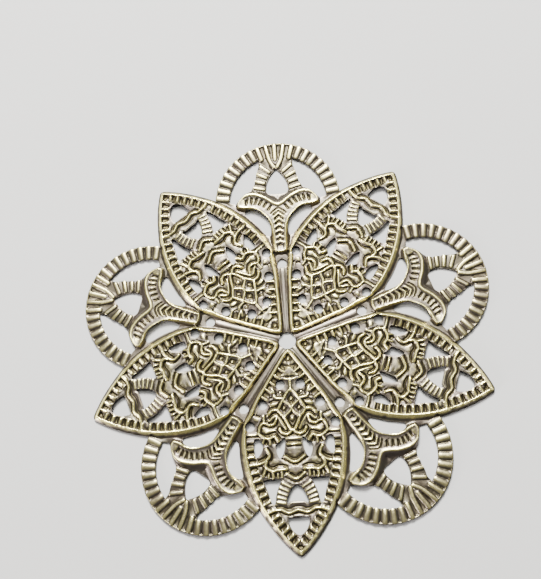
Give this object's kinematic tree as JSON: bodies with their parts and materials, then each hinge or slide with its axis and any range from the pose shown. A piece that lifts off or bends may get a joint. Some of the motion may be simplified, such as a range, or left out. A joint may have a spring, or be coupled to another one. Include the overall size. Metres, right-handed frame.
{
  "type": "filigree flower stamping",
  "caption": "Flat pressed and pierced metal flower: pointed petals with rims and scrolls standing proud of ribbed round lobes, holed in the middle for a bead, rivet or screw.",
  "frame": {"origin": "middle of the centre hole, at the flat back face", "axes": "+Z out of the front of the flower, +Y along the middle of one round lobe, one pointed petal along -Y"},
  "size_m": [0.0606, 0.0625, 0.0012],
  "materials": {
    "antiqued_brass": "antiqued satin, dark in the recesses and polished on the crests"
  },
  "bodies": {
    "root": {"stamping": "antiqued_brass"}
  },
  "joints": []
}
